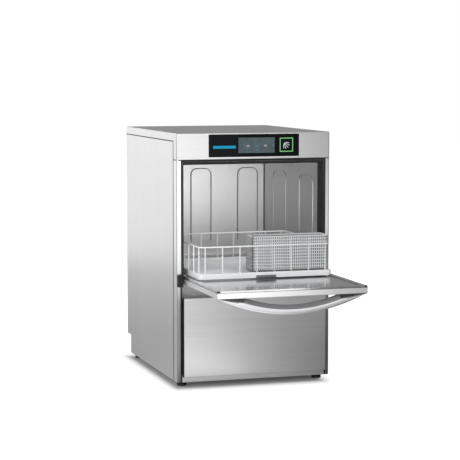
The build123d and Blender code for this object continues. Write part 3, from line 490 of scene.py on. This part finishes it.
def make_rack_grip():
    """Ribbed finger grip: a rounded bar that thins towards its ends."""
    low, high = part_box("rack_grip")
    high.z = low.z + GRIP_FILL * (high.z - low.z)
    middle, half = (low + high) / 2, (high - low) / 2
    steps, sides = 72, 20
    rib_depth, end_power = 0.14, 4
    bm = bmesh.new()
    rings = []
    for i in range(steps + 1):
        along = -1 + 2 * i / steps
        taper = 0.45 + 0.55 * (1 - abs(along) ** end_power)
        rib = 1 - rib_depth * (i // 2 % 2)
        ring = []
        for k in range(sides):
            angle = math.tau * k / sides
            y = middle.y + half.y * rib * math.cos(angle)
            z = middle.z + half.z * taper * rib * math.sin(angle)
            ring.append(bm.verts.new((middle.x + half.x * along, y, z)))
        rings.append(ring)
    for ring, following in zip(rings, rings[1:]):
        bridge(bm, ring, following)
    bm.faces.new(list(reversed(rings[0])))
    bm.faces.new(rings[-1])
    grip = finish_mesh("rack_finger_grip", bm, MATERIALS["grip_plastic"])
    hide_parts("rack_grip")
    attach(grip, "rack")


def grid_wall(bm, origin, across, up, thickness, columns, rows, rib):
    """A thin moulded wall of square holes between ribs. across and up are full-length vectors."""
    normal = across.cross(up).normalized() * thickness
    for row in range(rows + 1):
        start = origin + up * (row / rows)
        add_bar(bm, start, across, up.normalized() * rib, normal)
    for column in range(columns + 1):
        start = origin + across * (column / columns)
        add_bar(bm, start, up, across.normalized() * rib, normal)


def add_bar(bm, start, along, width, depth):
    """A bar from start along a vector, centred on its width, with the depth to one side."""
    corners = []
    for end in (0.0, 1.0):
        for across, deep in ((-0.5, 0), (0.5, 0), (0.5, 1), (-0.5, 1)):
            corners.append(bm.verts.new(start + along * end + width * across + depth * deep))
    for face in ((0, 1, 2, 3), (7, 6, 5, 4), (0, 4, 5, 1), (1, 5, 6, 2), (2, 6, 7, 3), (3, 7, 4, 0)):
        bm.faces.new([corners[i] for i in face])


def make_cutlery_basket():
    """Basket moulding: square holes in upright walls, with the inward faces in dark grey as painted shade.
    """
    low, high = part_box("cutlery_basket")
    wall, rib, broad_rib = 2.0 * MM, 2.8 * MM, 4.2 * MM
    pitch_x, pitch_z = 6.3 * MM, 8.6 * MM
    size = high - low
    edge = rib / 2
    columns = round((size.x - rib) / pitch_x)
    rows = round((size.z - rib) / pitch_z)
    deep = round((size.y - rib) / pitch_x)
    bm = bmesh.new()
    across = Vector((size.x - rib, 0, 0))
    back = Vector((0, size.y - rib, 0))
    up = Vector((0, 0, size.z - rib))
    x, y, z = low.x + edge, low.y + edge, low.z + edge
    grid_wall(bm, Vector((x, low.y + wall, z)), across, up, wall, columns, rows, rib)
    grid_wall(bm, Vector((x, high.y, z)), across, up, wall, columns, rows, broad_rib)
    grid_wall(bm, Vector((low.x, y, z)), back, up, wall, deep, rows, rib)
    grid_wall(bm, Vector((high.x - wall, y, z)), back, up, wall, deep, rows, rib)
    grid_wall(bm, Vector((x, y, low.z)), across, back, wall, columns // 2, deep, rib)
    dividers, thinner, lower = 3, 0.8, Vector((0, 0, 4 * MM))
    for place in spread(dividers + 2, low.x, high.x)[1:-1]:
        start = Vector((place, y, z))
        grid_wall(bm, start, back, up - lower, wall * thinner, deep, rows, rib * thinner)
    basket = finish_mesh("cutlery_basket_moulding", bm, MATERIALS["white_plastic"], smooth=False)
    basket.data.materials.append(MATERIALS["white_plastic_painted_shade"])
    # faces away from the outer skin take the dark grey second material: painted shade inside the basket
    middle = (low + high) / 2
    outside = 0.3 * MM
    for polygon in basket.data.polygons:
        place = polygon.center
        near_skin = (abs(place.x - middle.x) > size.x / 2 - outside
                     or abs(place.y - middle.y) > size.y / 2 - outside
                     or place.z > high.z - outside)
        polygon.material_index = 0 if near_skin else 1
    rim_r, corner = rib * 0.6, 4 * MM
    near, far = (low.x + rim_r, low.y + rim_r), (high.x - rim_r, high.y - rim_r)
    rim = rounded_loop(near, far, corner, high.z - rim_r)
    lip = wire_object("cutlery_basket_rim", [rim], rim_r, MATERIALS["white_plastic"], closed=True)
    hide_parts("cutlery_basket")
    for piece in (basket, lip):
        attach(piece, "basket")


# ---------------------------------------------------------------- door handle
# outline of the bow's section: shares of its depth from the front, and of its height from below
HANDLE_SECTION = ((0.00, 0.14), (0.05, 0.04), (0.16, 0.0), (0.84, 0.0), (0.96, 0.06), (1.0, 0.2),
                  (1.0, 0.90), (0.94, 0.99), (0.78, 1.0), (0.60, 0.95), (0.26, 0.70), (0.04, 0.54),
                  (0.0, 0.46))


def make_handle():
    """Bow handle: upright lip below, a slope above it, thinning towards the door's corners."""
    low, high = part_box("door_handle")
    half, drop, depth = high.x, high.z - low.z, high.y - low.y
    outer_r = (half ** 2 + drop ** 2) / (2 * drop)
    window_half, window_drop = 136 * MM, 24 * MM
    steps = 80
    bm = bmesh.new()
    rings = []
    for i in range(steps + 1):
        x = half * (-1 + 2 * i / steps)
        outer = high.z - drop + outer_r - math.sqrt(outer_r ** 2 - x ** 2)
        inner = min(high.z, high.z - window_drop * (1 - (x / window_half) ** 2))
        outer = min(outer, inner - 1.5 * MM)
        ring = [(x, low.y + u * depth, outer + v * (inner - outer)) for u, v in HANDLE_SECTION]
        rings.append([bm.verts.new(v) for v in ring])
    for ring, following in zip(rings, rings[1:]):
        bridge(bm, ring, following)
    bm.faces.new(list(reversed(rings[0])))
    bm.faces.new(rings[-1])
    bow = finish_mesh("handle_bow", bm, MATERIALS["handle"])
    bow.data.materials.append(MATERIALS["handle_slope_painted_shade"])
    # faces sloping up and forward take the dark grey second material: painted shade
    for polygon in bow.data.polygons:
        if polygon.normal.z > 0.35 and polygon.normal.y < -0.2:
            polygon.material_index = 1
    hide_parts("door_handle")
    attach(bow, "door")


# ---------------------------------------------------------------- control panel face
def plate(name, centre, width, height, corner, material, thickness=0.3 * MM):
    """A thin rounded plate standing on the panel's front, facing -Y."""
    face_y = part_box("control_glass")[0].y
    bm = bmesh.new()
    loop = rounded_loop((-width / 2, -height / 2), (width / 2, height / 2), corner, 0.0, 5)
    front = [bm.verts.new((centre[0] + x, face_y - thickness, centre[1] + z)) for x, z, _ in loop]
    back = [bm.verts.new((centre[0] + x, face_y, centre[1] + z)) for x, z, _ in loop]
    bm.faces.new(front)
    bm.faces.new(list(reversed(back)))
    bridge(bm, front, back)
    piece = finish_mesh(name, bm, material, smooth=False)
    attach(piece, "cabinet")


def rule(name, paths, radius, material, body="cabinet", closed=False):
    """Thin round lines along paths, riding on a body."""
    piece = wire_object(name, paths, radius, material, closed=closed, resolution=1)
    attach(piece, body)


def make_display_icons(centre, y):
    """Three generic icons, an arrow at each end of the row and a page dot, drawn as raised lines."""
    cell, pitch = 15 * MM, 26 * MM
    mark_half, mark_step = 3 * MM, 3 * MM
    z = centre[1] - 1 * MM
    for index, key in enumerate(("icon_white", "icon_cyan", "icon_white")):
        x = centre[0] + (index - 1) * pitch
        square = [(x - cell / 2, y, z - cell / 2), (x + cell / 2, y, z - cell / 2),
                  (x + cell / 2, y, z + cell / 2), (x - cell / 2, y, z + cell / 2)]
        if index < 2:
            frame_key = "icon_dim" if index == 0 else "icon_cyan"
            rule(f"icon_frame_{index}", [square], 0.28 * MM, MATERIALS[frame_key], closed=True)
        marks = []
        for offset in (-mark_step, 0, mark_step):
            top = z + mark_half - abs(offset) * 0.6
            marks.append([(x + offset, y, z - mark_half), (x + offset, y, top)])
        rule(f"icon_marks_{index}", marks, 0.5 * MM, MATERIALS[key])
    for sign, side in ((-1, "left"), (1, "right")):
        tip, base, half = centre[0] + sign * 50 * MM, centre[0] + sign * 47.5 * MM, 2.6 * MM
        arrow = [(base, y, z + half), (tip, y, z), (base, y, z - half)]
        rule(f"icon_arrow_{side}", [arrow], 0.55 * MM, MATERIALS["icon_cyan"])
    dot = [[(centre[0], y, centre[1] - 13 * MM), (centre[0], y, centre[1] - 15 * MM)]]
    rule("icon_dot", dot, 1.1 * MM, MATERIALS["icon_cyan"])


# rays of the start button's fan: angle in degrees, and its ends in millimetres from the fan's origin
START_RAYS = ((-86, 7, 19), (-68, 5, 21), (-48, 4, 22), (-28, 5, 21), (-10, 7, 18))


def make_start_icon():
    """Fan of raised lines on the start button."""
    low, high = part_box("start_button")
    origin_x = (low.x + high.x) / 2 - 9.5 * MM
    origin_z = (low.z + high.z) / 2 + 8.5 * MM
    fan = []
    for degrees, start, end in START_RAYS:
        c, s = math.cos(math.radians(degrees)), math.sin(math.radians(degrees))
        fan.append([(origin_x + c * reach * MM, low.y - 0.05 * MM, origin_z + s * reach * MM)
                    for reach in (start, end)])
    rule("start_icon", fan, 0.75 * MM, MATERIALS["icon_white"], body="start_key")


def make_panel_face():
    """Screen picture, colour bar, icons, and the rims round the panel's glass."""
    glass_low, glass_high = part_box("control_glass")
    face = glass_low.y
    low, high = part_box("display_module")
    centre = ((low.x + high.x) / 2, (low.z + high.z) / 2)
    plate("display_picture", centre, high.x - low.x, high.z - low.z, 1.0 * MM, MATERIALS["screen"])
    bar_centre, bar_width, bar_height = (-88.7 * MM, 684.6 * MM), 66.9 * MM, 8.0 * MM
    plate("panel_colour_bar", bar_centre, bar_width, bar_height, 0.6 * MM, MATERIALS["bar_blue"])
    make_display_icons(centre, face - 0.5 * MM)
    make_start_icon()
    for name, grow, radius, material, slot in (
            ("panel_rim", 0.5 * MM, 0.9 * MM, MATERIALS["black_plastic"], "display"),
            ("panel_trim", 1.9 * MM, 0.5 * MM, MATERIALS["crease_light"], "stainless")):
        near, far = (glass_low.x - grow, glass_low.z - grow), (glass_high.x + grow, glass_high.z + grow)
        loop = rounded_loop(near, far, 2.0 * MM + grow, 0.0)
        path = [(x, face + 0.1 * MM, z) for x, z, _ in loop]
        rule(name, [path], radius, material, closed=True)


# ---------------------------------------------------------------- balance springs
def eye(place, width, height, start):
    """One turn of wire round a pin along X, from the angle start."""
    x, y, z = place
    steps = 16
    turn = []
    for step in range(steps + 1):
        angle = start + math.tau * step / steps
        turn.append((x, y + width * math.cos(angle), z + height * math.sin(angle)))
    return turn


def coil(x, y, radius, low_z, high_z, side):
    """An upright helix about (x, y), mirrored for side -1."""
    turns, steps = 70, 14
    count = turns * steps
    helix = []
    for step in range(count + 1):
        angle = math.tau * step / steps
        z = low_z + (high_z - low_z) * step / count
        helix.append((side * (x + radius * math.cos(angle)), y + radius * math.sin(angle), z))
    return helix


def make_balance_springs():
    """Wound springs with an eye on each pin, the eyes sized to clear the pins also once the closing door's
    levers have shortened the springs.
    """
    low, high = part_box("door_springs")
    eye_reach, coil_r, wire_r = 5.0 * MM, 3.4 * MM, 0.8 * MM
    pin_r, play = 2.0 * MM, 0.15 * MM
    lever_reach = 38.0 * MM
    base, top = low.z + eye_reach, high.z - eye_reach
    keep = 1.0 - lever_reach * math.sqrt(2) / (top - base)    # a quarter turn lowers the pin by its chord
    eye_width = pin_r + wire_r + play
    eye_height = (pin_r + play) / keep + wire_r    # still clears the pin when the spring is short
    x, y = high.x - coil_r - wire_r, (low.y + high.y) / 2
    hook = 9 * MM
    paths = []
    for side in (-1, 1):
        eye_x = side * (x - 1.8 * MM)
        path = eye((eye_x, y, base), eye_width, eye_height, math.pi / 2)
        path += coil(x, y, coil_r, base + hook, top - hook, side)
        path += eye((eye_x, y, top), eye_width, eye_height, -math.pi / 2)
        paths.append(path)
    piece = wire_object("balance_springs", paths, wire_r, MATERIALS["galvanised"], resolution=1)
    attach(piece, "cabinet")
    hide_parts("door_springs")
    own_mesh(piece)


# ---------------------------------------------------------------- seams, gasket lip and pressed lines
def rubber_strips(name, boxes):
    """Thin strips on the cabinet, each from its lowest to its highest corner, as one piece."""
    bm = bmesh.new()
    for low, high in boxes:
        add_box(bm, low, high)
    piece = finish_mesh(name, bm, MATERIALS["rubber"], smooth=False)
    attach(piece, "cabinet")


def make_casing_seams():
    """Black strips in the gaps between the side panels, the posts and the hood: painted shade in the gaps.
    """
    side_gap, top_gap, hood_gap = 6.0 * MM, 3.0 * MM, 2.6 * MM
    proud, sunk, hood_edge = 0.12 * MM, 0.8 * MM, 4 * MM
    boxes = []
    skirt_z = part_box("left_side_panel")[1].z
    hood_low, hood_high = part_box("hood_cover")
    seam_top = hood_low.z - hood_gap
    for node, sign in (("left_side_panel", -1), ("right_side_panel", 1)):
        low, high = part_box(node)
        face = low.x if sign < 0 else high.x
        x = sorted((face + sign * proud, face - sign * sunk))
        boxes.append(((x[0], low.y - side_gap, low.z), (x[1], low.y, high.z)))
        boxes.append(((x[0], low.y - side_gap, skirt_z), (x[1], hood_high.y, skirt_z + top_gap)))
        boxes.append(((x[0], hood_low.y + hood_edge, seam_top), (x[1], low.y, hood_low.z)))
    posts_low, posts_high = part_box("corner_posts")
    cover_low, cover_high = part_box("hinge_covers")
    y = (posts_low.y - proud, posts_low.y + sunk)
    post_width, under_hood = 15 * MM, 11 * MM
    upper_gap, lower_gap = 2.4 * MM, 4.6 * MM
    # strips on the posts' fronts: painted shade, the lowest one the painted shadow of the proud lower panel
    for sign in (-1, 1):
        face = sign * (posts_high.x - post_width)
        for width, z in ((under_hood, (seam_top, hood_low.z)), (upper_gap, (cover_high.z, seam_top)),
                         (lower_gap, (posts_low.z, cover_low.z))):
            x = sorted((face, face + sign * width))
            boxes.append(((x[0], y[0], z[0]), (x[1], y[1], z[1])))
    rubber_strips("casing_seams", boxes)


def make_panel_side_shadows():
    """Black strips down both sides of the lower front panel: painted shadow on its side returns."""
    low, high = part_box("lower_front_panel")
    half, setback = 0.4 * MM, 2.2 * MM
    boxes = []
    for x in (low.x, high.x):
        boxes.append(((x - half, low.y + setback, low.z), (x + half, high.y, high.z)))
    rubber_strips("panel_side_painted_shadows", boxes)


def make_gasket_lip():
    """Rubber bead on the gasket's face, clear of the closed door's corner caps."""
    low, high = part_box("door_gasket")
    x = high.x - 2.6 * MM
    y = low.y + 0.55 * MM
    foot, top = low.z + 14 * MM, high.z - 6 * MM
    path = [(-x, y, foot), (-x, y, top), (x, y, top), (x, y, foot)]
    # the bead in a lighter grey rubber than the gasket
    rule("gasket_lip", [path], 1.0 * MM, MATERIALS["rubber_grey"])


def make_opening_side_strips():
    """Black strips along the inside of the opening, behind the gasket's face."""
    low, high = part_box("door_gasket")
    opening, top = 209 * MM, 634 * MM
    front, back, foot = low.y + 10 * MM, low.y + 42 * MM, low.z + 8 * MM
    boxes = []
    for side in (-1, 1):
        x = sorted((side * (opening - 0.2 * MM), side * (opening + 1.2 * MM)))
        boxes.append(((x[0], front, foot), (x[1], back, top)))
    rubber_strips("opening_side_strips", boxes)


def make_chamber_lines():
    """Painted shade and painted highlight along the creases of the pressed panels, and dark welds at the
    folded corners of the wash chamber.
    """
    chamber_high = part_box("wash_chamber")[1]
    sheet, relief, pitch = 1.2 * MM, 1.7 * MM, 155 * MM
    wall = chamber_high.y - sheet - relief
    lines = []
    half, top, foot, corner = 33 * MM, 592 * MM, 362 * MM, 20 * MM
    steps = 12
    for middle in (-pitch, 0.0, pitch):
        arch = [(middle - half, wall, foot)]
        for step in range(steps + 1):
            angle = math.pi * (1 - step / steps)
            side = -1 if step <= steps / 2 else 1
            centre = middle + side * (half - corner)
            arch.append((centre + corner * math.cos(angle), wall, top - corner + corner * math.sin(angle)))
        arch.append((middle + half, wall, foot))
        lines.append(arch)
    # dark line along each crease: painted shade
    rule("chamber_creases", lines, 0.9 * MM, MATERIALS["crease"])
    # light line beside each crease: painted highlight
    lit = [[(x + 1.9 * MM, y, z - 1.2 * MM) for x, y, z in arch] for arch in lines]
    rule("chamber_crease_lights", lit, 0.9 * MM, MATERIALS["crease_light"])
    edge = chamber_high.x - sheet - 1.0 * MM
    weld_y, weld_foot, weld_top = wall + 0.8 * MM, 322 * MM, 646 * MM
    seams = [[(x, weld_y, weld_foot), (x, weld_y, weld_top)] for x in (-edge, edge)]
    rule("chamber_corner_welds", seams, 1.4 * MM, MATERIALS["crease"])


def make_door_lines():
    """Seam between the door's skins, and painted shade along the crease round the pressed field."""
    low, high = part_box("door_outer_panel")
    inner_low, inner_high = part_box("door_inner_panel")
    sunk = 0.2 * MM
    seam = rounded_loop((low.x + sunk, low.y + sunk), (high.x - sunk, high.y), 1.0 * MM, inner_low.z)
    rule("door_skin_seam", [seam], 0.6 * MM, MATERIALS["crease"], "door", closed=True)
    inset, hinge_inset = 16.4 * MM, 30.4 * MM
    near = (inner_low.x + inset, inner_low.y + inset)
    far = (inner_high.x - inset, inner_high.y - hinge_inset)
    field = rounded_loop(near, far, 9 * MM, inner_high.z - 1.5 * MM)
    # dark line round the field: painted shade in its crease
    rule("door_field_crease", [field], 0.9 * MM, MATERIALS["crease"], "door", closed=True)


dress_cad_nodes()
make_rack_wires()
make_rack_base()
make_rack_grip()
make_cutlery_basket()
make_handle()
make_panel_face()
make_casing_seams()
make_panel_side_shadows()
make_balance_springs()
make_gasket_lip()
make_opening_side_strips()
make_chamber_lines()
make_door_lines()


# ---------------------------------------------------------------- stage, light and camera
def footprint_distance(tree, centre, half, side_weight):
    """Distance on the floor from a box at centre with half sizes, with X counted side_weight times."""
    place = object_axes(tree)
    outside = []
    for axis, middle, reach in zip("XY", centre, half):
        offset = maths(tree, "SUBTRACT", place[axis], middle)
        beyond = maths(tree, "SUBTRACT", maths(tree, "ABSOLUTE", offset), reach)
        outside.append(maths(tree, "MAXIMUM", beyond))
    both = add(tree, "ShaderNodeCombineXYZ")
    for value, socket in zip(outside, both.inputs):
        tree.links.new(value, socket)
    stretched = add(tree, "ShaderNodeVectorMath", operation="MULTIPLY")
    tree.links.new(both.outputs[0], stretched.inputs[0])
    stretched.inputs[1].default_value = (side_weight, 1.0, 1.0)
    length = add(tree, "ShaderNodeVectorMath", operation="LENGTH")
    tree.links.new(stretched.outputs[0], length.inputs[0])
    return length.outputs["Value"]


def make_floor():
    """White for the camera, darker close round the body: a painted contact shadow from fading glow over the
    real shadow in its diffuse part; grey for what it lights or is mirrored in.
    """
    mesh = bpy.data.meshes.new("floor")
    size = 12.0
    corners = [(-size, -size, 0), (size, -size, 0), (size, size, 0), (-size, size, 0)]
    mesh.from_pydata(corners, [], [(0, 1, 2, 3)])
    floor = bpy.data.objects.new("floor", mesh)
    bpy.context.scene.collection.objects.link(floor)
    material, tree, shader = new_material("floor_paint")
    tree.nodes.remove(shader)
    low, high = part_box("base_tray")
    high.x -= 30 * MM    # the shadow ends a little short of the right feet
    centre, half = (low + high) / 2, (high - low) / 2
    distance = footprint_distance(tree, centre, half, side_weight=1.9)
    seen = add(tree, "ShaderNodeBsdfDiffuse")
    tree.links.new(ramp(tree, distance, ((0.0, 0.50), (0.10, 0.55))), seen.inputs["Color"])
    glow_part = add(tree, "ShaderNodeEmission")
    # painted contact shadow: the glow fades towards the body's footprint
    fade = ramp(tree, distance, ((0.0, 0.05), (0.03, 0.45), (0.065, 0.76), (0.12, 0.88)))
    tree.links.new(fade, glow_part.inputs["Color"])
    both = add(tree, "ShaderNodeAddShader")
    mirrored = add(tree, "ShaderNodeBsdfDiffuse")
    across = add(tree, "ShaderNodeMapRange", From_Min=-1.0)
    tree.links.new(object_axes(tree)["X"], across.inputs["Value"])
    tone = ramp(tree, across.outputs[0], ((0.56, 0.75), (0.68, 0.22), (0.86, 0.26), (1.0, 0.65)))
    tree.links.new(tone, mirrored.inputs["Color"])
    path = add(tree, "ShaderNodeLightPath")
    choose = add(tree, "ShaderNodeMixShader")
    tree.links.new(seen.outputs[0], both.inputs[0])
    tree.links.new(glow_part.outputs[0], both.inputs[1])
    tree.links.new(path.outputs["Is Camera Ray"], choose.inputs[0])
    tree.links.new(mirrored.outputs[0], choose.inputs[1])
    tree.links.new(both.outputs[0], choose.inputs[2])
    tree.links.new(choose.outputs[0], tree.nodes["Material Output"].inputs["Surface"])
    paint(floor, material)


def make_world():
    """White backdrop for the camera; for light and reflections a grey room, lighter on the left."""
    world = bpy.data.worlds.new("studio")
    world.use_nodes = True
    tree = world.node_tree
    direction = add(tree, "ShaderNodeTexCoord").outputs["Generated"]
    towards = axes(tree, direction)
    across = add(tree, "ShaderNodeMapRange", From_Min=-1.0)
    tree.links.new(towards["X"], across.inputs["Value"])
    tones = ((0.0, 0.75), (0.40, 0.62), (0.62, 0.38), (0.80, 0.42), (1.0, 0.68))
    room = ramp(tree, across.outputs[0], tones)
    lift = ramp(tree, towards["Z"], ((0.0, 0.66), (0.12, 0.72), (0.5, 1.0), (0.85, 0.45)))
    room = mix(tree, "MULTIPLY", 1.0, room, lift)
    towards_camera = add(tree, "ShaderNodeVectorMath", operation="DOT_PRODUCT")
    tree.links.new(direction, towards_camera.inputs[0])
    towards_camera.inputs[1].default_value = (-0.30, -0.95, 0.10)
    booth = ramp(tree, towards_camera.outputs["Value"], ((0.0, 1.0), (0.80, 1.0), (0.92, 0.35), (1.0, 0.15)))
    room = mix(tree, "MULTIPLY", 1.0, room, booth)
    path = add(tree, "ShaderNodeLightPath")
    colour = mix(tree, "MIX", path.outputs["Is Camera Ray"], room, (1.0, 1.0, 1.0))
    tree.links.new(colour, tree.nodes["Background"].inputs["Color"])
    bpy.context.scene.world = world


def softbox(name, place, target, size, radiance, spread_degrees=180.0):
    """A rectangular light of even radiance that the camera itself doesn't see."""
    data = bpy.data.lights.new(name, "AREA")
    data.shape = "RECTANGLE"
    data.size, data.size_y = size
    data.energy = radiance * math.pi * size[0] * size[1]
    data.spread = math.radians(spread_degrees)
    light = bpy.data.objects.new(name, data)
    light.location = place
    light.rotation_euler = (Vector(target) - Vector(place)).to_track_quat("-Z", "Y").to_euler()
    light.visible_camera = False
    bpy.context.scene.collection.objects.link(light)


def make_lights():
    """Each with its name, place, target, width and height, radiance, and its spread where it is narrow."""
    softbox("front_right", (-0.23, -1.10, 0.65), (-0.23, 0.0, 0.65), (1.00, 1.06), 1.52)
    softbox("front_left", (-2.2, -2.6, 1.3), (0.0, 0.0, 0.35), (2.2, 1.8), 1.45)
    softbox("floor_card", (-0.30, -0.78, 0.004), (-0.30, -0.78, 1.0), (0.66, 1.0), 0.80)
    softbox("back_left", (-1.35, 2.0, 0.95), (-0.35, 0.0, 0.75), (2.0, 1.8), 1.08)
    softbox("left", (-2.4, -0.6, 1.5), (0.0, 0.0, 0.4), (1.6, 1.6), 1.6)
    softbox("overhead", (0.0, -1.5, 2.5), (0.0, 0.0, 0.4), (2.2, 1.2), 1.0)
    softbox("chamber", (0.03, -0.095, 0.53), (0.03, 0.42, 0.47), (0.34, 0.19), 1.05, 120.0)
    softbox("front_edge", (0.41, -1.10, 0.60), (0.41, 0.0, 0.60), (0.28, 0.60), 0.52)
    softbox("post_edge", (0.62, -1.10, 0.34), (0.62, 0.0, 0.34), (0.13, 0.30), 1.5)


def make_camera():
    data = bpy.data.cameras.new("camera")
    data.sensor_width = 36.0
    data.lens = 131.2
    data.clip_end = 50.0
    camera = bpy.data.objects.new("camera", data)
    camera.location = Vector((-1.497, -4.663, 0.9132))
    target = Vector((0.0062, 0.1275, 0.4227))
    camera.rotation_euler = (target - camera.location).to_track_quat("-Z", "Y").to_euler()
    bpy.context.scene.collection.objects.link(camera)
    bpy.context.scene.camera = camera


make_floor()
make_world()
make_lights()
make_camera()
bpy.context.scene.view_settings.view_transform = "Standard"
